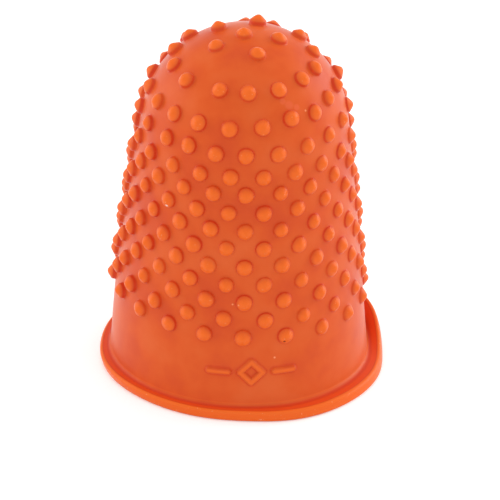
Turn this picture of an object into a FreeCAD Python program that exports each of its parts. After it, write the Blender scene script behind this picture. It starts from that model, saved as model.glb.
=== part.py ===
"""Rubber finger tip: one moulded cone with a domed end, a thin rim and rows of grip pimples.

Millimetres, +Z up. The finger tip stands on its rim. The origin is the middle of the open
end, in the plane it rests on, and -Y is the front, where the raised mark is.
"""
import FreeCAD
import Part
import math
import os

V = FreeCAD.Vector
UP = V(0, 0, 1)

# Overall size
overall_height = 33.0
rim_diameter = 25.0

# Hollow wall: a slightly bowed taper that runs into a round dome
foot_diameter = 23.0
dome_diameter = 18.6
wall_bow_radius = 300.0
wall_thickness = 1.0

# Flange round the open end
rim_thickness = 1.0
rim_edge_round = 0.3
rim_root_fillet = 0.45
mouth_round = 0.3

# Grip pimples: a slightly tapered stem with a blunt pointed cap
pimple_diameter = 1.5
pimple_shoulder_diameter = 1.25
pimple_shoulder_height = 0.35
pimple_height = 0.7
pimple_root = 0.3
pimple_sides = 8

# Rows of pimples round the tapered wall, each row half a step round from the last
pimples_per_row = 20
first_row_height = 7.95
row_pitch = 1.665
row_start_azimuth = 2.0

# Rings of pimples over the dome: angle down from the top, pimples in the ring, first azimuth
dome_rings = [
    (78.5, 20, 2.0),
    (63.8, 19, -9.0),
    (44.0, 16, 2.5),
    (18.2, 5, 15.6),
    (3.6, 1, -32.0),
]

# Raised mark on the skirt: an open diamond between two bars
mark_centre_height = 4.45
mark_azimuth = 6.6
mark_relief = 0.25
mark_stroke = 0.5
mark_root = 0.3
diamond_width = 2.0
diamond_height = 2.0
bar_length = 1.7
bar_offset = 2.9

# Worked out from the sizes above
rim_radius = rim_diameter / 2
foot_radius = foot_diameter / 2
dome_radius = dome_diameter / 2
lowest_ring_polar = dome_rings[0][0]
highest_ring_polar = dome_rings[-1][0]
tip_rise = (dome_radius + pimple_height) * math.cos(math.radians(highest_ring_polar))
dome_centre_height = overall_height - tip_rise
lowest_ring_height = dome_centre_height + dome_radius * math.cos(math.radians(lowest_ring_polar))
row_count = int((lowest_ring_height - first_row_height) / row_pitch)


def bow_centre():
    """Centre of the bowed wall's arc, in the (radius, height) plane.

    The arc starts at the foot and runs into the dome's circle with no kink.
    """
    foot_to_dome = math.hypot(foot_radius, dome_centre_height)
    to_dome = wall_bow_radius - dome_radius
    along = (wall_bow_radius ** 2 - to_dome ** 2 + foot_to_dome ** 2) / (2 * foot_to_dome)
    across = math.sqrt(wall_bow_radius ** 2 - along ** 2)
    toward = (-foot_radius / foot_to_dome, dome_centre_height / foot_to_dome)
    r = foot_radius + along * toward[0] - across * toward[1]
    z = along * toward[1] + across * toward[0]
    return r, z


bow_r, bow_z = bow_centre()
shoulder_angle = math.atan2(dome_centre_height - bow_z, -bow_r)


def wall_radius(height, offset=0.0):
    """Radius of the bowed wall at a height, grown outward by offset."""
    return bow_r + math.sqrt((wall_bow_radius + offset) ** 2 - (height - bow_z) ** 2)


def wall_lean(height):
    """Angle by which the wall's surface faces upward at a height, in degrees."""
    return math.degrees(math.asin((height - bow_z) / wall_bow_radius))


def on_bow(angle, offset):
    """Point of the bowed wall's arc at an angle above level, grown outward by offset."""
    reach = wall_bow_radius + offset
    return V(bow_r + reach * math.cos(angle), 0, bow_z + reach * math.sin(angle))


def on_dome(angle, offset):
    """Point of the dome's arc at an angle above level, grown outward by offset."""
    reach = dome_radius + offset
    return V(reach * math.cos(angle), 0, dome_centre_height + reach * math.sin(angle))


def arc(point_at, start, end, offset):
    """Arc of one of the two curves above, between two angles."""
    middle = point_at((start + end) / 2, offset)
    return Part.Arc(point_at(start, offset), middle, point_at(end, offset)).toShape()


def line(start, end):
    return Part.LineSegment(start, end).toShape()


def revolved(edges):
    """Solid turned about the axis from a closed outline."""
    outline = Part.Wire(Part.__sortEdges__(edges))
    return Part.Face(outline).revolve(V(0, 0, 0), UP, 360)


def wall_and_dome(start_angle, offset):
    """Edges of the wall's line from an angle near the foot up to the axis."""
    return [arc(on_bow, start_angle, shoulder_angle, offset),
            arc(on_dome, shoulder_angle, math.pi / 2, offset)]


def corner(level, radius, offset):
    """Small arc that joins a level line to the wall's line, grown outward by offset.

    Gives the arc's end on the level line, its middle, its end on the wall, and the
    angle at which it meets the wall.
    """
    height = level + radius
    centre = V(wall_radius(height, offset + radius), 0, height)
    angle = math.asin((height - bow_z) / (wall_bow_radius + offset + radius))
    down = -UP
    inward = V(-math.cos(angle), 0, -math.sin(angle))
    middle = centre + (down + inward).normalize() * radius
    return centre + down * radius, middle, centre + inward * radius, angle


def shell():
    """The bare moulding: wall, dome and flange, hollow and open below."""
    root_level, root_middle, root_wall, root_angle = corner(rim_thickness, rim_root_fillet, 0.0)
    mouth_level, mouth_middle, mouth_wall, mouth_angle = corner(0.0, mouth_round, -wall_thickness)
    edge_inset = rim_radius - rim_edge_round
    edge_middle = edge_inset + rim_edge_round * math.sqrt(0.5)
    edge_drop = rim_edge_round * (1 - math.sqrt(0.5))
    rim_bottom = V(edge_inset, 0, 0)
    rim_low = V(rim_radius, 0, rim_edge_round)
    rim_high = V(rim_radius, 0, rim_thickness - rim_edge_round)
    rim_top = V(edge_inset, 0, rim_thickness)
    edges = [
        line(mouth_level, rim_bottom),
        Part.Arc(rim_bottom, V(edge_middle, 0, edge_drop), rim_low).toShape(),
        line(rim_low, rim_high),
        Part.Arc(rim_high, V(edge_middle, 0, rim_thickness - edge_drop), rim_top).toShape(),
        line(rim_top, root_level),
        Part.Arc(root_level, root_middle, root_wall).toShape(),
    ]
    edges += wall_and_dome(root_angle, 0.0)
    edges.append(line(on_dome(math.pi / 2, 0.0), on_dome(math.pi / 2, -wall_thickness)))
    edges += wall_and_dome(mouth_angle, -wall_thickness)
    edges.append(Part.Arc(mouth_wall, mouth_middle, mouth_level).toShape())
    return revolved(edges)


def pimple():
    """One faceted pimple along +Z: a slightly tapered stem with a blunt pointed cap."""
    def ring(radius, height):
        turns = [2 * math.pi * i / pimple_sides for i in range(pimple_sides)]
        return [V(radius * math.cos(a), radius * math.sin(a), height) for a in turns]

    slope = (pimple_diameter - pimple_shoulder_diameter) / 2 / pimple_shoulder_height
    root = ring(pimple_diameter / 2 + slope * pimple_root, -pimple_root)
    shoulder = ring(pimple_shoulder_diameter / 2, pimple_shoulder_height)
    tip = V(0, 0, pimple_height)
    faces = [Part.Face(Part.makePolygon(root + root[:1]))]
    for i in range(pimple_sides):
        j = (i + 1) % pimple_sides
        faces.append(Part.Face(Part.makePolygon([root[i], root[j], shoulder[j], shoulder[i], root[i]])))
        faces.append(Part.Face(Part.makePolygon([shoulder[i], shoulder[j], tip, shoulder[i]])))
    return Part.Solid(Part.Shell(faces))


def placed(shape, radius, height, lift, azimuth):
    """Copy of a shape whose +Z points outward at an azimuth from the front, raised by lift."""
    spin = FreeCAD.Rotation(UP, azimuth - 90)
    lean = FreeCAD.Rotation(V(0, 1, 0), 90 - lift)
    copy = shape.copy()
    place = FreeCAD.Placement(spin.multVec(V(radius, 0, height)), spin.multiply(lean))
    copy.Placement = place.multiply(shape.Placement)
    return copy


def wall_pimples(one):
    """Staggered rows of pimples round the tapered wall."""
    step = 360 / pimples_per_row
    made = []
    for row in range(row_count):
        height = first_row_height + row * row_pitch
        start = row_start_azimuth - step / 2 * (row % 2)
        for i in range(pimples_per_row):
            made.append(placed(one, wall_radius(height), height, wall_lean(height), start + i * step))
    return made


def dome_pimples(one):
    """Rings of pimples over the dome, each square to its surface."""
    made = []
    for polar, count, start in dome_rings:
        lift = 90 - polar
        seat = on_dome(math.radians(lift), 0.0)
        for i in range(count):
            made.append(placed(one, seat.x, seat.z, lift, start + i * 360 / count))
    return made


def stroke(start, end):
    """Round-ended bar between two points of the mark's plane, deep enough to cross the skirt."""
    run = end - start
    depth = 2 * (mark_root + mark_relief + mark_stroke)
    box = Part.makeBox(run.Length, mark_stroke, depth, V(0, -mark_stroke / 2, -depth / 2))
    ends = [Part.makeCylinder(mark_stroke / 2, depth, V(x, 0, -depth / 2)) for x in (0.0, run.Length)]
    bar = box.fuse(ends)
    bar.Placement = FreeCAD.Placement(start, FreeCAD.Rotation(V(1, 0, 0), run))
    return bar


def skirt_band(half_height):
    """Thin ring under and just proud of the skirt, about the mark's height."""
    low, high = mark_centre_height - half_height, mark_centre_height + half_height
    corners = [V(wall_radius(low, -mark_root), 0, low), V(wall_radius(low, mark_relief), 0, low),
               V(wall_radius(high, mark_relief), 0, high), V(wall_radius(high, -mark_root), 0, high)]
    return revolved([line(corners[i - 1], corners[i]) for i in range(4)])


def raised_mark():
    """An open diamond between two bars, standing just proud of the skirt."""
    corners = [V(diamond_width / 2, 0, 0), V(0, diamond_height / 2, 0),
               V(-diamond_width / 2, 0, 0), V(0, -diamond_height / 2, 0)]
    strokes = [stroke(corners[i - 1], corners[i]) for i in range(4)]
    for side in (-1, 1):
        inner = V(side * (bar_offset - bar_length / 2), 0, 0)
        outer = V(side * (bar_offset + bar_length / 2), 0, 0)
        strokes.append(stroke(inner, outer))
    level = strokes[0].fuse(strokes[1:]).removeSplitter()
    level.rotate(V(0, 0, 0), UP, 90)
    height = mark_centre_height
    across = placed(level, wall_radius(height), height, wall_lean(height), mark_azimuth)
    return across.common(skirt_band(diamond_height / 2 + mark_stroke))


def finger_tip():
    one = pimple()
    raised = wall_pimples(one) + dome_pimples(one) + [raised_mark()]
    return shell().fuse(raised)


os.makedirs("parts", exist_ok=True)
part = finger_tip()
part.exportStep("parts/finger_tip.step")
box = part.optimalBoundingBox()
print("solids", len(part.Solids), "valid", part.isValid(), "volume", round(part.Volume, 1))
print("size", round(box.XLength, 2), round(box.YLength, 2), round(box.ZLength, 2))
print("pimples", row_count * pimples_per_row + sum(ring[1] for ring in dome_rings), "rows", row_count)
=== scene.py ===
"""Rubber finger tip: the moulded piece in fine detail, its rubber, and a plain studio."""

import math
import random

import bpy
from mathutils import Matrix, Vector
from mathutils.geometry import delaunay_2d_cdt
from mathutils.kdtree import KDTree


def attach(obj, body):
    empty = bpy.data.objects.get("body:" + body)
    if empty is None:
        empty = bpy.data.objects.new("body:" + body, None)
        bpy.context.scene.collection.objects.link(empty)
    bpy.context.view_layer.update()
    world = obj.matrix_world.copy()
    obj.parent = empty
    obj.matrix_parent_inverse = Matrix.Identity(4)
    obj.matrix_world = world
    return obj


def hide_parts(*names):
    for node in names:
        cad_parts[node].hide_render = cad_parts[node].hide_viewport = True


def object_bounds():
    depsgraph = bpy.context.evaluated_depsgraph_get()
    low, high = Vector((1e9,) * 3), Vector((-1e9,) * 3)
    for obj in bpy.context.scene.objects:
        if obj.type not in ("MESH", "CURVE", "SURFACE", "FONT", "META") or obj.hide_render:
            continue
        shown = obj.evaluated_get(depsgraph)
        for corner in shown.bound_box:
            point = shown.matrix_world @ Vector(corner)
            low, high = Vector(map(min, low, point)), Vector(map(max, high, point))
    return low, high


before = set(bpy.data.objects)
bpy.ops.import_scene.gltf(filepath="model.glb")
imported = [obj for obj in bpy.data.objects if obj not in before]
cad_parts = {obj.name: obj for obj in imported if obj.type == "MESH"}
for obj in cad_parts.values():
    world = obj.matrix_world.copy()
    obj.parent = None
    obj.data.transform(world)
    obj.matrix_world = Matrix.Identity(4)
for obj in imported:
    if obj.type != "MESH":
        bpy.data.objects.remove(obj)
cad_low, cad_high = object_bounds()

MM = 0.001
RANDOM = random.Random(7)

# Body, in millimetres. The height and the rim come from the frame
HEIGHT = cad_high.z / MM
RIM_RADIUS = cad_high.x / MM
FOOT_RADIUS = 11.5
DOME_RADIUS = 9.3
BOW_RADIUS = 300.0
WALL = 1.0
RIM_THICKNESS = 1.0
RIM_EDGE_ROUND = 0.3
ROOT_FILLET = 0.45
MOUTH_ROUND = 0.3

# Pimples. Their skirts end PIMPLE_REACH from their middles
PIMPLE_HEIGHT = 0.7
PIMPLE_SIDES = 20
PIMPLE_REACH = 0.96
# Rings of a pimple from its skirt to its tip: distance from the middle, height. Each has a blunt
# cone for a cap. The wall's pimples run from the tall form at the far left to the low one at the
# far right, and those on top of the dome lie DOME_SHARE of the way between the two
TALL_PIMPLE = [
    (PIMPLE_REACH, 0.0), (0.80, 0.008), (0.755, 0.045), (0.735, 0.19), (0.715, 0.36),
    (0.69, 0.40), (0.63, 0.45), (0.46, 0.57), (0.30, 0.685), (0.15, 0.765), (0.0, 0.785),
]
LOW_PIMPLE = [
    (PIMPLE_REACH, 0.0), (0.80, 0.008), (0.755, 0.03), (0.735, 0.05), (0.71, 0.08),
    (0.68, 0.11), (0.61, 0.165), (0.45, 0.29), (0.31, 0.39), (0.16, 0.475), (0.0, 0.50),
]
DOME_SHARE = 0.2
# Painted light on each of those rings: below 0 is painted shade on a pimple's flank and round
# its skirt, 1 is the painted glow of its cap
RING_PAINTED_LIGHT = [-0.1, -0.4, -0.8, -1.0, -0.7, 0.1, 0.6, 1.0, 1.0, 1.0, 1.0]
# How much of that painted shade a pimple's flank has, at least and at most
FLANK_SHADE_DEPTH = (0.35, 1.0)
# Painted shade on the caps: how much less painted glow a cap's upper edge takes than its lower
# one, and how many radians that painted shade turns towards the front at the object's sides
CAP_SHADE = 1.0
CAP_TURN = 1.0
PIMPLES_PER_ROW = 20
FIRST_ROW = 7.95
ROW_PITCH = 1.665
ROW_COUNT = 10
ROW_AZIMUTH = 2.0
# Rings over the dome: degrees down from the top, pimples in the ring, azimuth of the first
DOME_RINGS = [
    (78.5, 20, 2.0),
    (63.8, 19, -9.0),
    (44.0, 16, 2.5),
    (18.2, 5, 15.6),
    (3.6, 1, -32.0),
]
# Pimples of the dome that stand off their ring's even spacing: ring, place in it, then how
# many degrees down from the top and round, and how many times as tall
STRAYS = {
    (44.0, 2): (-2, 3, 1), (44.0, 3): (-2, 2, 1), (44.0, 4): (-6, 2, 1), (44.0, 5): (-11, 2, 1),
    (44.0, 6): (6, 0, 1), (44.0, 9): (4, -3, 1), (44.0, 10): (5, 0, 1), (44.0, 11): (-7, -8, 1),
    (44.0, 12): (-1, -12, 1), (44.0, 13): (0, -11, 1), (44.0, 14): (1, -9, 1), (44.0, 1): (0, 1, 1),
    (18.2, 0): (2, 0, 1), (18.2, 1): (-1, -7, 1), (18.2, 2): (-3, 0, 1.2), (18.2, 3): (0, 7, 1.15),
    (18.2, 4): (2, 0, 1), (63.8, 1): (-1, 1, 1), (63.8, 2): (-3, 1, 1), (63.8, 3): (-2, 0, 1),
    (63.8, 4): (-5, -2, 1), (63.8, 5): (-5, -3, 1), (63.8, 6): (-3, -2, 1), (78.5, 2): (-1, 0, 1),
    (78.5, 3): (-2, -1, 1), (78.5, 4): (-3, -2, 1), (78.5, 5): (-3, -1, 1), (78.5, 16): (-1, 3, 1),
    (78.5, 17): (-1, 5, 1), (78.5, 18): (-2, 3, 1), (78.5, 19): (0, 1, 1),
}

# How the wall's rows drift from even ones. All are turned by ROW_TURN. Towards DRIFT_LOW they
# sag, more so to the right, and spread on the right. Towards DRIFT_TOP they spread on the left
DRIFT_TOP = 22.0
DRIFT_LOW = 6.0
ROW_SAG = 0.15
ROW_TILT = 0.6
ROW_TURN = 0.1
SPREAD_RIGHT = 1.2
SPREAD_LEFT = 0.7
# The right spread ends past the limb, where the azimuth's cosine falls to -SPREAD_PAST, and it
# fades while that cosine falls by the last SPREAD_FADE
SPREAD_PAST = 0.35
SPREAD_FADE = 0.5

# How unevenly the pimples are moulded
SEAT_SCATTER = 0.035
HEIGHT_SCATTER = 0.06
WIDTH_SCATTER = 0.03
TIP_SCATTER = 0.05
WOBBLE = 0.014

# Raised mark on the skirt
MARK_HEIGHT = 4.45
MARK_AZIMUTH = 6.6
MARK_RELIEF = 0.25
MARK_STROKE = 0.56
MARK_SOFTNESS = 0.14
DIAMOND = 2.0
BAR_LENGTH = 1.7
BAR_OFFSET = 2.9
MARK_MESH = 0.065
# Painted glow of the strokes, and painted shade along their feet and that shade's width
MARK_GLOW = 0.75
MARK_FOOT_SHADE = -0.6
MARK_FOOT_WIDTH = 0.4

# Mesh between the pimples, and round the rim
FILL_STEP = 0.5
AROUND = 200
FILL_GAP = 0.2
FEWEST_AROUND = 6
JOIN_TOLERANCE = 1e-7
ARC_STEPS = 8
INSIDE_STEP = 0.8

# Painted light on the fillet's top, which is lighter, on the rim's top, a painted shade of the
# groove, and on the start and middle of the rim's edge, a painted glow; and the width of the line
# where the top's colour ends
FILLET_TOP = 0.6
RIM_TOP_SHADE = -1.7
RIM_EDGE_START_GLOW = 0.2
RIM_EDGE_GLOW = 2.0
RIM_MARGIN = 0.06

# Uneven rim: azimuth from the front, half width in degrees, how far it stands out and lifts
RIM_BULGES = [
    (52.0, 38.0, 0.62, 0.0),
    (129.0, 36.0, 0.4, 2.0),
    (-22.0, 34.0, -0.2, 0.0),
    (-110.0, 28.0, -0.25, 0.0),
]
# How far up the wall the unevenness reaches, its share on the wall itself, and how far inside
# the foot's radius it starts to grow towards the rim
BULGE_REACH = 5.0
BULGE_ON_WALL = 0.25
FLANGE_INSET = 0.6

# The body stands off to the left of its rim, and from DOME_FOOT up it leans to the right again
LEAN_LEFT = 0.2
DOME_RIGHT = 0.24
DOME_FOOT = 18.0
# How far the left side is drawn in, between which heights, and the height over which that blends
SLIM_LEFT = 0.22
SLIM_FOOT = 8.0
SLIM_TOP = 30.0
SLIM_BLEND = 8.0


def smooth(share):
    """A share eased in and out, and held between 0 and 1."""
    share = min(1.0, max(0.0, share))
    return share * share * (3 - 2 * share)


def bow_centre(dome_centre):
    """Centre of the bowed wall's arc: it starts at the foot and runs into the dome's circle."""
    span = math.hypot(FOOT_RADIUS, dome_centre)
    to_dome = BOW_RADIUS - DOME_RADIUS
    along = (BOW_RADIUS ** 2 - to_dome ** 2 + span ** 2) / (2 * span)
    across = math.sqrt(BOW_RADIUS ** 2 - along ** 2)
    toward_r, toward_z = -FOOT_RADIUS / span, dome_centre / span
    return FOOT_RADIUS + along * toward_r - across * toward_z, along * toward_z + across * toward_r


DOME_CENTRE = HEIGHT - (DOME_RADIUS + PIMPLE_HEIGHT) * math.cos(math.radians(DOME_RINGS[-1][0]))
BOW_R, BOW_Z = bow_centre(DOME_CENTRE)
SHOULDER = math.atan2(DOME_CENTRE - BOW_Z, -BOW_R)
DOME_ARC = DOME_RADIUS * (math.pi / 2 - SHOULDER)


def wall_radius(height, offset=0.0):
    return BOW_R + math.sqrt((BOW_RADIUS + offset) ** 2 - (height - BOW_Z) ** 2)


def wall_angle(height, offset=0.0):
    return math.asin((height - BOW_Z) / (BOW_RADIUS + offset))


def section(distance, offset=0.0):
    """Radius, height and upward lean of the outside, a distance down its line from the top."""
    if distance < DOME_ARC:
        lean = math.pi / 2 - distance / DOME_RADIUS
        reach = DOME_RADIUS + offset
        return reach * math.cos(lean), DOME_CENTRE + reach * math.sin(lean), lean
    lean = SHOULDER - (distance - DOME_ARC) / BOW_RADIUS
    reach = BOW_RADIUS + offset
    return BOW_R + reach * math.cos(lean), BOW_Z + reach * math.sin(lean), lean


def distance_at(lean):
    """Distance down the wall's line from the top to where it leans that much."""
    return DOME_ARC + (SHOULDER - lean) * BOW_RADIUS


# The wall's line ends where the root fillet takes over
FILLET_HEIGHT = RIM_THICKNESS + ROOT_FILLET
FILLET_LEAN = wall_angle(FILLET_HEIGHT, ROOT_FILLET)
FOOT_DISTANCE = distance_at(FILLET_LEAN)
MAP_STEP = 0.05


def flat_map():
    """Radii, MAP_STEP apart down the line, of a flat map of the outside that keeps angles."""
    radii = [0.0]
    while len(radii) * MAP_STEP < DOME_ARC:
        radii.append(math.tan(len(radii) * MAP_STEP / DOME_RADIUS / 2))
    while (len(radii) - 2) * MAP_STEP < FOOT_DISTANCE:
        middle = (len(radii) - 0.5) * MAP_STEP
        radii.append(radii[-1] * math.exp(MAP_STEP / section(middle)[0]))
    return radii


MAP_RADII = flat_map()


def flat(distance, azimuth):
    """Place of a point of the outside in the flat map."""
    index = int(distance / MAP_STEP)
    share = distance / MAP_STEP - index
    radius = MAP_RADII[index] * (1 - share) + MAP_RADII[index + 1] * share
    return Vector((radius * math.sin(azimuth), -radius * math.cos(azimuth)))


def turned(radius, height, azimuth):
    """Point at a radius and height, its azimuth measured from the front towards +X."""
    return Vector((radius * math.sin(azimuth), -radius * math.cos(azimuth), height))


def point(distance, azimuth, lift=0.0):
    """Point of the outside, raised by lift."""
    radius, height, lean = section(distance)
    return turned(radius + lift * math.cos(lean), height + lift * math.sin(lean), azimuth)


def axes(distance, azimuth):
    """Outward normal, direction round the body and direction up the line, at a point."""
    lean = section(distance)[2]
    normal = turned(math.cos(lean), math.sin(lean), azimuth)
    around = Vector((math.cos(azimuth), math.sin(azimuth), 0))
    return normal, around, normal.cross(around)


def nearest_place(place):
    """Distance down the line and azimuth of the point of the outside nearest to a place."""
    radius = math.hypot(place.x, place.y)
    azimuth = math.atan2(place.x, -place.y)
    lean = math.atan2(place.z - DOME_CENTRE, radius)
    if lean > SHOULDER:
        return (math.pi / 2 - lean) * DOME_RADIUS, azimuth
    return distance_at(math.atan2(place.z - BOW_Z, radius - BOW_R)), azimuth


def drifted(distance, azimuth):
    """Where a pimple of the wall's even rows really stands."""
    radius, height, _ = section(distance)
    low = min(1.0, max(0.0, (DRIFT_TOP - height) / (DRIFT_TOP - DRIFT_LOW)))
    side = math.sin(azimuth)
    front = math.cos(azimuth)
    right = max(0.0, side) * smooth((front + SPREAD_PAST) / SPREAD_FADE)
    left = max(0.0, -side) * max(0.0, front)
    turn = ROW_TURN + SPREAD_RIGHT * low * right + SPREAD_LEFT * (1 - low) * left
    return distance + low * (ROW_SAG + ROW_TILT * side), azimuth + turn / radius


def pimple_seats():
    """Where each pimple stands, its distance down the line and azimuth, and how tall it is."""
    seats = []
    for polar, count, first in reversed(DOME_RINGS):
        for i in range(count):
            down, around, tall = STRAYS.get((polar, i), (0, 0, 1))
            azimuth = first + around + i * 360 / count
            seats.append((math.radians(polar + down) * DOME_RADIUS, math.radians(azimuth), tall))
    step = 360 / PIMPLES_PER_ROW
    for row in reversed(range(ROW_COUNT)):
        first = ROW_AZIMUTH - step / 2 * (row % 2)
        distance = distance_at(wall_angle(FIRST_ROW + row * ROW_PITCH))
        for i in range(PIMPLES_PER_ROW):
            seats.append((*drifted(distance, math.radians(first + i * step)), 1))
    return seats


class Skin:
    """The mesh as it grows: points, their painted light and shade, their flat places, faces."""

    def __init__(self):
        self.points = []
        self.faces = []
        self.painted_light = []
        self.flat_places = {}

    def add(self, place, painted_light=0.0):
        self.points.append(place)
        self.painted_light.append(painted_light)
        return len(self.points) - 1

    def add_outside(self, distance, azimuth, lift=0.0, painted_light=0.0):
        """Point of the outside that the flat map has to join to its neighbours."""
        index = self.add(point(distance, azimuth, lift), painted_light)
        self.flat_places[index] = flat(distance, azimuth)
        return index

    def bridge(self, upper, lower):
        """Quads between two rings, where upper lies nearer the outside's top or a pimple's tip."""
        count = len(upper)
        for i in range(count):
            j = (i + 1) % count
            self.faces.append((upper[i], lower[i], lower[j], upper[j]))

    def cap(self, ring, tip):
        """Triangles from a ring to the one point above it."""
        for i in range(len(ring)):
            self.faces.append((tip, ring[i], ring[(i + 1) % len(ring)]))


def pimple_rings(share):
    """Rings of a pimple whose form lies between the tall one, share 0, and the low one, share 1."""
    return [(r0 + (r1 - r0) * share, h0 + (h1 - h0) * share)
            for (r0, h0), (r1, h1) in zip(TALL_PIMPLE, LOW_PIMPLE)]


def add_pimple(skin, distance, azimuth, tall):
    """One pimple with its own small irregularities. Gives its middle and its outermost ring."""
    middle = point(distance, azimuth)
    normal, around, upward = axes(distance, azimuth)
    tall *= 1 + RANDOM.gauss(0, HEIGHT_SCATTER)
    wide = 1 + RANDOM.gauss(0, WIDTH_SCATTER)
    tip_shift = around * RANDOM.gauss(0, TIP_SCATTER) + upward * RANDOM.gauss(0, TIP_SCATTER)
    waves = [(n, RANDOM.uniform(0, 2 * math.pi), RANDOM.gauss(0, WOBBLE)) for n in (2, 3)]
    depth = RANDOM.uniform(*FLANK_SHADE_DEPTH)
    level = (1 - max(0.0, normal.z)) ** 2
    rings = pimple_rings((0.5 + 0.5 * normal.x) * level + DOME_SHARE * (1 - level))
    tip_height = rings[-1][1]
    above = None
    for (ring_radius, ring_height), painted_light in reversed(list(zip(rings[:-1], RING_PAINTED_LIGHT))):
        ring = []
        # Painted shade on the flank and round the skirt, deeper on some pimples than on others
        if painted_light < 0:
            painted_light *= depth
        share = ring_height / tip_height
        for i in range(PIMPLE_SIDES):
            turn = 2 * math.pi * i / PIMPLE_SIDES
            spread = ring_radius
            if ring_height > 0:
                ripple = sum(size * math.sin(n * turn + phase) for n, phase, size in waves)
                spread *= wide + ripple
            wanted = middle + around * (spread * math.cos(turn)) + upward * (spread * math.sin(turn))
            place = nearest_place(wanted)
            if ring_height == 0:
                ring.append(skin.add_outside(*place))
                continue
            lifted = point(*place) + normal * (ring_height * tall) + tip_shift * share * share
            # Painted shade on the cap's upper edge, turned towards the front at the object's sides
            shaded = 0.5 + 0.5 * math.sin(turn - CAP_TURN * math.sin(azimuth))
            shade = CAP_SHADE * max(0.0, painted_light) * shaded * ring_radius / PIMPLE_REACH
            ring.append(skin.add(lifted, painted_light - shade))
        if above is None:
            tip = skin.add(middle + normal * (tip_height * tall) + tip_shift, RING_PAINTED_LIGHT[-1])
            skin.cap(ring, tip)
        else:
            skin.bridge(above, ring)
        above = ring
    return middle, above


def mark_strokes():
    """Ends of the mark's strokes in its own plane, along the skirt and up it."""
    half = DIAMOND / 2
    corners = [(half, 0), (0, half), (-half, 0), (0, -half)]
    strokes = [(corners[i - 1], corners[i]) for i in range(4)]
    for side in (-1, 1):
        inner = side * (BAR_OFFSET - BAR_LENGTH / 2)
        outer = side * (BAR_OFFSET + BAR_LENGTH / 2)
        strokes.append(((inner, 0), (outer, 0)))
    return [(Vector(start), Vector(end)) for start, end in strokes]


def mark_relief(strokes, along, upward):
    """How high the mark stands at a place of its plane, and its glow and foot shade, both painted."""
    place = Vector((along, upward))
    nearest = math.inf
    for start, end in strokes:
        run = end - start
        share = min(1.0, max(0.0, (place - start).dot(run) / run.length_squared))
        nearest = min(nearest, (place - start - run * share).length)
    share = smooth((MARK_STROKE / 2 + MARK_SOFTNESS / 2 - nearest) / MARK_SOFTNESS)
    foot = smooth(1 - abs(nearest - MARK_STROKE / 2) / MARK_FOOT_WIDTH)
    return MARK_RELIEF * share, MARK_GLOW * share + MARK_FOOT_SHADE * foot


def add_mark(skin):
    """Fine mesh over the mark. Gives the half width and half height that it covers."""
    strokes = mark_strokes()
    margin = MARK_STROKE
    half_width = BAR_OFFSET + BAR_LENGTH / 2 + margin
    half_height = DIAMOND / 2 + margin
    radius = wall_radius(MARK_HEIGHT)
    middle = distance_at(wall_angle(MARK_HEIGHT))
    columns = int(2 * half_width / MARK_MESH)
    rows = int(2 * half_height / MARK_MESH)
    for j in range(rows + 1):
        upward = (j / rows * 2 - 1) * half_height
        for i in range(columns + 1):
            along = (i / columns * 2 - 1) * half_width
            lift, painted_light = mark_relief(strokes, along, upward)
            azimuth = math.radians(MARK_AZIMUTH) + along / radius
            skin.add_outside(middle - upward, azimuth, lift, painted_light)
    return half_width, half_height


def in_mark(distance, azimuth, half_width, half_height):
    """Whether a point of the outside lies in the mark's own mesh, or too near to it."""
    middle = distance_at(wall_angle(MARK_HEIGHT))
    along = (azimuth - math.radians(MARK_AZIMUTH)) * wall_radius(MARK_HEIGHT)
    gap = FILL_STEP / 2
    return abs(along) < half_width + gap and abs(distance - middle) < half_height + gap


def add_fill(skin, middles, half_width, half_height):
    """Staggered points over the wall and dome, clear of the pimples and of the mark."""
    tree = KDTree(len(middles))
    for i, middle in enumerate(middles):
        tree.insert(middle, i)
    tree.balance()
    clear = PIMPLE_REACH + FILL_GAP
    rings = int(FOOT_DISTANCE / FILL_STEP)
    for ring in range(1, rings):
        distance = FOOT_DISTANCE * ring / rings
        count = max(FEWEST_AROUND, round(2 * math.pi * section(distance)[0] / FILL_STEP))
        for i in range(count):
            azimuth = 2 * math.pi * (i + 0.5 * (ring % 2)) / count
            if azimuth > math.pi:
                azimuth -= 2 * math.pi
            if tree.find(point(distance, azimuth))[2] < clear:
                continue
            if in_mark(distance, azimuth, half_width, half_height):
                continue
            skin.add_outside(distance, azimuth)


def join_outside(skin, outlines):
    """Triangles between the pimples, from the flat map. Each outline is a closed ring of points."""
    members = {}
    edges = []
    indices = list(skin.flat_places)
    order = {index: i for i, index in enumerate(indices)}
    for number, ring in enumerate(outlines):
        for i, index in enumerate(ring):
            members[index] = number
            edges.append((order[index], order[ring[(i + 1) % len(ring)]]))
    places = [skin.flat_places[index] for index in indices]
    _, _, faces, sources, _, _ = delaunay_2d_cdt(places, edges, [], 0, JOIN_TOLERANCE)
    for face in faces:
        corners = [indices[sources[i][0]] for i in face]
        owners = {members.get(index) for index in corners}
        if len(owners) == 1 and None not in owners:
            continue
        a, b, c = (skin.points[index] for index in corners)
        out = (a + b + c) / 3
        out.z = max(0.0, out.z - DOME_CENTRE)
        if (b - a).cross(c - a).dot(out) < 0:
            corners.reverse()
        skin.faces.append(tuple(corners))


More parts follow.
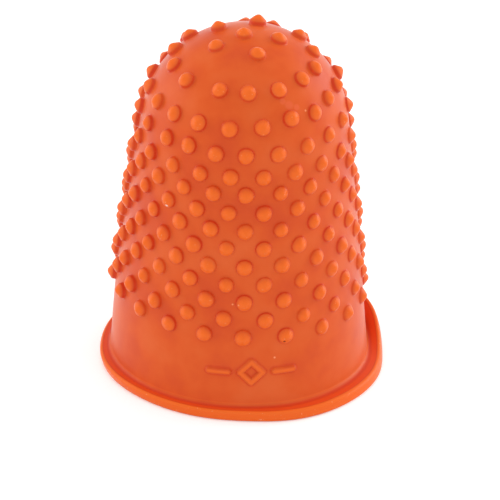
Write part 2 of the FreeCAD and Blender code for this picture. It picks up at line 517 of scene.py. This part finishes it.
def rim_and_inside():
    """Rings from below the foot, round the rim and up the inside: radius, height, painted light."""
    outline = []

    def arc(radius, height, reach, start, end, painted_light, last_painted_light):
        for i in range(1, ARC_STEPS + 1):
            share = i / ARC_STEPS
            angle = start + (end - start) * share
            here = painted_light + (last_painted_light - painted_light) * share
            outline.append((radius + reach * math.cos(angle), height + reach * math.sin(angle), here))

    fillet_radius = wall_radius(FILLET_HEIGHT, ROOT_FILLET)
    fillet_start = math.pi + FILLET_LEAN
    # The fillet runs from a lighter top into the rim top's painted shade
    arc(fillet_radius, FILLET_HEIGHT, ROOT_FILLET, fillet_start, 1.5 * math.pi, FILLET_TOP, RIM_TOP_SHADE)
    edge_radius = RIM_RADIUS - RIM_EDGE_ROUND
    outline.append((edge_radius - RIM_MARGIN, RIM_THICKNESS, RIM_TOP_SHADE))
    outline.append((edge_radius, RIM_THICKNESS, 0.0))
    edge_height = RIM_THICKNESS - RIM_EDGE_ROUND
    # The rim's edge takes a painted glow
    arc(edge_radius, edge_height, RIM_EDGE_ROUND, math.pi / 2, 0, RIM_EDGE_START_GLOW, RIM_EDGE_GLOW)
    outline.append((RIM_RADIUS, RIM_THICKNESS / 2, RIM_EDGE_GLOW))
    outline.append((RIM_RADIUS, RIM_EDGE_ROUND, RIM_EDGE_GLOW))
    arc(edge_radius, RIM_EDGE_ROUND, RIM_EDGE_ROUND, 0, -math.pi / 2, RIM_EDGE_GLOW, 0.0)
    mouth_lean = wall_angle(MOUTH_ROUND, MOUTH_ROUND - WALL)
    mouth_radius = wall_radius(MOUTH_ROUND, MOUTH_ROUND - WALL)
    outline.append(((edge_radius + mouth_radius) / 2, 0.0, 0.0))
    outline.append((mouth_radius, 0.0, 0.0))
    arc(mouth_radius, MOUTH_ROUND, MOUTH_ROUND, -math.pi / 2, mouth_lean - math.pi, 0.0, 0.0)
    start = distance_at(mouth_lean)
    steps = int(start / INSIDE_STEP)
    for i in range(1, steps):
        radius, height, _ = section(start * (1 - i / steps), -WALL)
        outline.append((radius, height, 0.0))
    return outline


def add_rim_and_inside(skin, foot):
    """The rings below the foot, joined to it, up to the top of the inside."""
    above = foot
    for radius, height, painted_light in rim_and_inside():
        ring = []
        for i in range(AROUND):
            ring.append(skin.add(turned(radius, height, 2 * math.pi * i / AROUND), painted_light))
        skin.bridge(above, ring)
        above = ring
    skin.cap(above[::-1], skin.add(Vector((0, 0, DOME_CENTRE + DOME_RADIUS - WALL))))


def bent(place):
    """Where a point lies on the slightly uneven moulding, rather than on the true round one."""
    radius = math.hypot(place.x, place.y)
    if radius == 0:
        return place
    azimuth = math.degrees(math.atan2(place.x, -place.y))
    low = math.exp(-(max(0.0, place.z - RIM_THICKNESS) / BULGE_REACH) ** 2)
    flange = smooth((radius - FOOT_RADIUS + FLANGE_INSET) / (RIM_RADIUS - FOOT_RADIUS + FLANGE_INSET))
    out = 0.0
    lift = 0.0
    for middle, width, size, rise in RIM_BULGES:
        off = (azimuth - middle + 180) % 360 - 180
        share = math.exp(-(off / width) ** 4)
        out += size * share
        lift += rise * share
    grown = radius + out * low * (BULGE_ON_WALL + (1 - BULGE_ON_WALL) * flange)
    lifted = place.z + lift * low * flange
    shift = DOME_RIGHT * smooth((place.z - DOME_FOOT) / (HEIGHT - DOME_FOOT))
    shift -= LEAN_LEFT * smooth(place.z / RIM_THICKNESS)
    slim = smooth((place.z - SLIM_FOOT) / SLIM_BLEND) * smooth((SLIM_TOP - place.z) / SLIM_BLEND)
    shift += SLIM_LEFT * slim * max(0.0, -place.x / radius) ** 2
    return Vector((place.x / radius * grown + shift, place.y / radius * grown, lifted))


def finger_tip():
    """The whole moulding as one closed mesh."""
    skin = Skin()
    middles = []
    outlines = []
    for distance, azimuth, tall in pimple_seats():
        distance += RANDOM.gauss(0, SEAT_SCATTER)
        azimuth += RANDOM.gauss(0, SEAT_SCATTER) / section(distance)[0]
        middle, outermost = add_pimple(skin, distance, azimuth, tall)
        middles.append(middle)
        outlines.append(outermost)
    half_width, half_height = add_mark(skin)
    add_fill(skin, middles, half_width, half_height)
    foot = [skin.add_outside(FOOT_DISTANCE, 2 * math.pi * i / AROUND) for i in range(AROUND)]
    join_outside(skin, outlines + [foot])
    add_rim_and_inside(skin, foot)

    mesh = bpy.data.meshes.new("moulded_finger_tip")
    mesh.from_pydata([bent(place) * MM for place in skin.points], [], skin.faces)
    mesh.validate()
    mesh.shade_smooth()
    # Painted light in the colour, per point: above 0 a painted glow, below 0 painted shade
    painted_light = mesh.attributes.new("painted_light", "FLOAT", "POINT")
    painted_light.data.foreach_set("value", skin.painted_light)
    piece = bpy.data.objects.new("moulded_finger_tip", mesh)
    bpy.context.scene.collection.objects.link(piece)
    return piece


# Places of the colour sockets in a Mix node
MIX_FIRST = 6
MIX_SECOND = 7
MIX_RESULT = 2


class Nodes:
    """Short calls to build the nodes of a material or of the world."""

    def __init__(self, owner):
        self.tree = owner.node_tree
        self.tree.nodes.clear()
        kind = "World" if isinstance(owner, bpy.types.World) else "Material"
        self.output = self.node("Output" + kind)

    def node(self, kind, inputs=None, **settings):
        made = self.tree.nodes.new("ShaderNode" + kind)
        for name, value in settings.items():
            setattr(made, name, value)
        for name, value in (inputs or {}).items():
            self.feed(made.inputs[name], value)
        return made

    def feed(self, socket, value):
        if isinstance(value, bpy.types.NodeSocket):
            self.tree.links.new(value, socket)
        else:
            socket.default_value = value

    def math(self, operation, first, second):
        made = self.node("Math", operation=operation)
        self.feed(made.inputs[0], first)
        self.feed(made.inputs[1], second)
        return made.outputs[0]

    def span(self, value, low, high, to_low=0.0, to_high=1.0):
        """A value carried smoothly from one span to another, and held at its ends."""
        made = self.node("MapRange", interpolation_type="SMOOTHSTEP", inputs={
            "Value": value, "From Min": low, "From Max": high, "To Min": to_low, "To Max": to_high})
        return made.outputs["Result"]

    def mix(self, share, first, second):
        """One number or another, by a share."""
        made = self.node("MapRange", inputs={"Value": share})
        self.feed(made.inputs["To Min"], first)
        self.feed(made.inputs["To Max"], second)
        return made.outputs["Result"]

    def blend(self, share, first, second):
        """One colour or another, by a share."""
        made = self.node("Mix", data_type="RGBA", inputs={"Factor": share})
        self.feed(made.inputs[MIX_FIRST], first)
        self.feed(made.inputs[MIX_SECOND], second)
        return made.outputs[MIX_RESULT]

    def seen_white(self):
        """1 for the camera and for what shows in gloss or glass, 0 for light on its way."""
        light = self.node("LightPath").outputs
        seen = self.math("MAXIMUM", light["Is Camera Ray"], light["Is Glossy Ray"])
        return self.math("MAXIMUM", seen, light["Is Transmission Ray"])

    def noise(self, where, scale, detail):
        made = self.node("TexNoise", inputs={"Vector": where, "Scale": scale, "Detail": detail})
        return made.outputs["Fac"]


# Rubber, as linear colours. The tip and rim edge colours are a painted glow, the flank, rim top
# and pit colours painted shade
WALL_COLOUR = (0.75, 0.102, 0.013, 1)
TIP_GLOW_COLOUR = (0.90, 0.148, 0.014, 1)
RIM_EDGE_GLOW_COLOUR = (0.90, 0.138, 0.013, 1)
FLANK_SHADE_COLOUR = (0.69, 0.052, 0.010, 1)
RIM_TOP_SHADE_COLOUR = (0.85, 0.084, 0.011, 1)
DEEP_COLOUR = (0.68, 0.074, 0.013, 1)
PALE_COLOUR = (0.78, 0.134, 0.028, 1)
FLECK_COLOUR = (0.95, 0.32, 0.14, 1)
CHALK_COLOUR = (0.95, 0.75, 0.66, 1)
SMEAR_COLOUR = (0.80, 0.125, 0.035, 1)
PIT_SHADE_COLOUR = (0.28, 0.022, 0.006, 1)
# Where each colour of the mesh's painted light starts, and where it is full: the painted glow of
# the caps and rim edge, and the painted shade of the flanks and rim top
PAINTED_LIGHT_COLOURS = [
    (0.0, 0.8, TIP_GLOW_COLOUR),
    (1.0, 2.0, RIM_EDGE_GLOW_COLOUR),
    (0.0, -1.0, FLANK_SHADE_COLOUR),
    (-1.0, -2.0, RIM_TOP_SHADE_COLOUR),
]
# Noise in the rubber: scale and detail
CLOUDS = (260.0, 3.0)
GRAIN = (2600.0, 2.0)
FLECKS = (5200.0, 1.0)
# Where in the clouds' noise the rubber turns pale or deep, and how much of that colour it takes
PALE_CLOUDS = (0.45, 0.75, 0.0, 0.7)
DEEP_CLOUDS = (0.55, 0.3, 0.0, 0.8)
# Where in their noise, and at how much of the caps' painted glow, the flecks show
FLECK_NOISE = (0.70, 0.78)
FLECK_RAISED = (0.3, 0.9)
GRAIN_STRENGTH = 0.15
GRAIN_DEPTH = 0.00002
# Specks, pits and smears: azimuth in degrees, height, radius and reach in millimetres, colour.
# The pit is a dark spot, painted shade in place of its hollow
FLAWS = [
    (-39.8, 19.23, 10.44, 0.16, CHALK_COLOUR),
    (-0.9, 11.09, 11.08, 0.10, FLECK_COLOUR),
    (-3.7, 10.97, 10.72, 0.10, FLECK_COLOUR),
    (20.4, 7.32, 11.34, 0.14, PIT_SHADE_COLOUR),
    (47.6, 9.50, 11.25, 0.22, FLECK_COLOUR),
    (16.3, 5.70, 11.12, 0.12, FLECK_COLOUR),
    (41.7, 27.87, 7.91, 0.12, FLECK_COLOUR),
    (36.0, 28.30, 7.60, 0.35, SMEAR_COLOUR),
    (31.0, 28.60, 7.40, 0.50, SMEAR_COLOUR),
    (27.0, 28.95, 7.15, 0.35, SMEAR_COLOUR),
]
GLOSS = 0.9
GLOSS_IOR = 1.2
ROUGHNESS = 0.38
SHEEN = 0.26
SHEEN_ROUGHNESS = 0.25


def rubber():
    """Orange moulded rubber, yellower on the pimples as a painted glow, faintly clouded, with a
    sheen.
    """
    material = bpy.data.materials.new("orange_rubber")
    material.use_nodes = True
    n = Nodes(material)
    where = n.node("TexCoord").outputs["Object"]
    painted_light = n.node("Attribute", attribute_name="painted_light").outputs["Fac"]
    clouds = n.noise(where, *CLOUDS)
    grain = n.noise(where, *GRAIN)
    base = n.blend(n.span(clouds, *PALE_CLOUDS), WALL_COLOUR, PALE_COLOUR)
    base = n.blend(n.span(clouds, *DEEP_CLOUDS), base, DEEP_COLOUR)
    # Painted glow of the caps and rim edge, painted shade of the flanks and rim top
    for start, full, colour in PAINTED_LIGHT_COLOURS:
        base = n.blend(n.span(painted_light, start, full), base, colour)
    specked = n.span(n.noise(where, *FLECKS), *FLECK_NOISE)
    flecks = n.math("MULTIPLY", specked, n.span(painted_light, *FLECK_RAISED))
    base = n.blend(flecks, base, FLECK_COLOUR)
    for azimuth, height, radius, reach, colour in FLAWS:
        away = n.node("VectorMath", operation="DISTANCE", inputs={"Vector": where})
        n.feed(away.inputs[1], turned(radius, height, math.radians(azimuth)) * MM)
        base = n.blend(n.span(away.outputs["Value"], reach * MM, reach * MM / 2), base, colour)
    fine = n.node("Bump", inputs={
        "Strength": GRAIN_STRENGTH, "Distance": GRAIN_DEPTH, "Height": grain})
    shader = n.node("BsdfPrincipled", inputs={
        "Base Color": base,
        "Roughness": ROUGHNESS,
        "IOR": GLOSS_IOR,
        "Specular IOR Level": GLOSS,
        "Sheen Weight": SHEEN,
        "Sheen Roughness": SHEEN_ROUGHNESS,
        "Normal": fine.outputs["Normal"],
    })
    n.feed(n.output.inputs["Surface"], shader.outputs["BSDF"])
    return material


# Studio, as linear colours and metres
WHITE = (1, 1, 1, 1)
GROUND_COLOUR = (0.88, 0.88, 0.88, 1)
GROUND_LIFT = 0.3
GROUND_SIZE = 3.0
WORLD_LIGHT = 0.95
# What gloss sees of the white surround: its strength near the ground and overhead, and the
# heights of direction between which it falls
HORIZON_GLOSS = 1.0
ZENITH_GLOSS = 0.1
GLOSS_LOW = 0.05
GLOSS_HIGH = 0.65
# Softboxes: place, width and height, power. All face the middle of the object
OBJECT_MIDDLE = Vector((0, 0, 0.016))
SOFTBOXES = {
    "left_softbox": ((-0.32, 0.08, 0.12), (0.26, 0.22), 0.24),
    "right_softbox": ((0.31, 0.17, 0.13), (0.26, 0.22), 0.48),
    "top_softbox": ((0.0, 0.06, 0.42), (0.35, 0.35), 0.10),
}


def white_ground():
    """Pale ground that keeps the soft shadow and reads as white to the camera and in gloss."""
    material = bpy.data.materials.new("white_ground")
    material.use_nodes = True
    n = Nodes(material)
    plain = n.node("BsdfDiffuse", inputs={"Color": GROUND_COLOUR})
    strength = n.math("MULTIPLY", n.seen_white(), GROUND_LIFT)
    lifted = n.node("Emission", inputs={"Color": WHITE, "Strength": strength})
    both = n.node("AddShader")
    n.feed(both.inputs[0], plain.outputs["BSDF"])
    n.feed(both.inputs[1], lifted.outputs["Emission"])
    n.feed(n.output.inputs["Surface"], both.outputs["Shader"])
    return material


def stage():
    """White floor, reaching far enough to fill every view."""
    half = GROUND_SIZE / 2
    corners = [(-half, -half, 0), (half, -half, 0), (half, half, 0), (-half, half, 0)]
    mesh = bpy.data.meshes.new("floor")
    mesh.from_pydata(corners, [], [(0, 1, 2, 3)])
    floor = bpy.data.objects.new("floor", mesh)
    floor.location.z = cad_low.z
    mesh.materials.append(white_ground())
    bpy.context.scene.collection.objects.link(floor)


def studio_world():
    """White all round: full strength to the camera, softer as light, darker overhead in gloss."""
    made = bpy.data.worlds.new("studio")
    made.use_nodes = True
    n = Nodes(made)
    rays = n.node("LightPath").outputs
    seen = n.math("MAXIMUM", rays["Is Camera Ray"], rays["Is Transmission Ray"])
    direct = n.math("MAXIMUM", WORLD_LIGHT, seen)
    direction = n.node("SeparateXYZ", inputs={"Vector": n.node("TexCoord").outputs["Generated"]})
    glossy = n.span(direction.outputs["Z"], GLOSS_LOW, GLOSS_HIGH, HORIZON_GLOSS, ZENITH_GLOSS)
    strength = n.mix(rays["Is Glossy Ray"], direct, glossy)
    background = n.node("Background", inputs={"Color": WHITE, "Strength": strength})
    n.feed(n.output.inputs["Surface"], background.outputs["Background"])
    bpy.context.scene.world = made


def softbox(name, place, size, power):
    """Area light that faces the middle of the object."""
    data = bpy.data.lights.new(name, "AREA")
    data.shape = "RECTANGLE"
    data.size, data.size_y = size
    data.energy = power
    lamp = bpy.data.objects.new(name, data)
    lamp.location = place
    lamp.rotation_mode = "QUATERNION"
    lamp.rotation_quaternion = (OBJECT_MIDDLE - Vector(place)).to_track_quat("-Z", "Y")
    bpy.context.scene.collection.objects.link(lamp)


# Camera: what the photograph's aimed at, where it stood, and how far it was rolled
AIM = Vector((0.000721, -0.002313, 0.011827))
CAMERA_ELEVATION = 29.0
CAMERA_DISTANCE = 0.7
CAMERA_ROLL = 1.42
CAMERA_LENS = 568.5


def camera():
    """The photograph's view."""
    data = bpy.data.cameras.new("camera")
    data.lens = CAMERA_LENS
    data.sensor_width = 36
    data.clip_start = 0.05
    data.clip_end = 20
    tilt = math.radians(CAMERA_ELEVATION)
    back = Vector((0, -math.cos(tilt), math.sin(tilt)))
    eye = bpy.data.objects.new("camera", data)
    facing = (-back).to_track_quat("-Z", "Y").to_matrix()
    roll = Matrix.Rotation(math.radians(CAMERA_ROLL), 3, "Z")
    eye.matrix_world = Matrix.Translation(AIM + back * CAMERA_DISTANCE) @ (facing @ roll).to_4x4()
    bpy.context.scene.collection.objects.link(eye)
    bpy.context.scene.camera = eye


tip = finger_tip()
tip.data.materials.append(rubber())
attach(tip, "root")
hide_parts("finger_tip")

stage()
studio_world()
for name, (place, size, power) in SOFTBOXES.items():
    softbox(name, place, size, power)
camera()
bpy.context.scene.view_settings.view_transform = "Standard"
